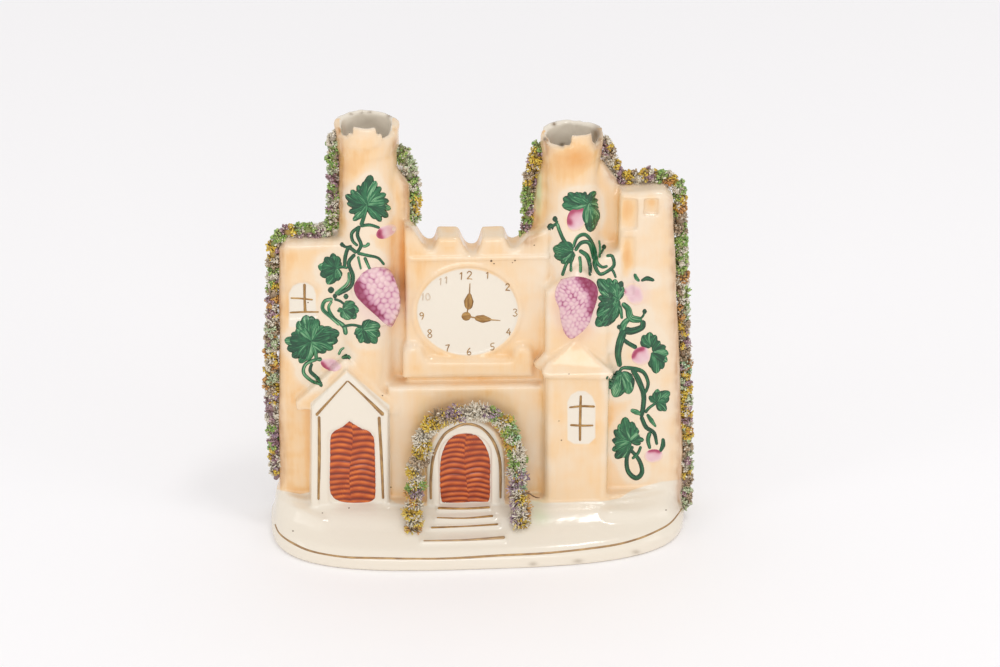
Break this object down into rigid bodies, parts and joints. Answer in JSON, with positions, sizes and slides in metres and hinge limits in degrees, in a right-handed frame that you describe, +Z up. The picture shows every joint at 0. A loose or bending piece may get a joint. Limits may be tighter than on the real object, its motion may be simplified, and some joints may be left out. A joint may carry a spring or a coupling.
{
  "type": "flatback castle figure",
  "caption": "Hollow glazed earthenware castle with two open towers, a clock face, a gabled porch and a flat back, standing on an oval mound base.",
  "frame": {"origin": "middle of the base on the surface it stands on", "axes": "+Z up, front towards -Y, +X to the viewer's right when looking at the front, flat back towards +Y"},
  "size_m": [0.2053, 0.067, 0.214],
  "materials": {
    "castle": "glossy cream glaze with a peach enamel wash and painted enamels"
  },
  "bodies": {
    "root": {"castle": "castle"}
  },
  "joints": []
}
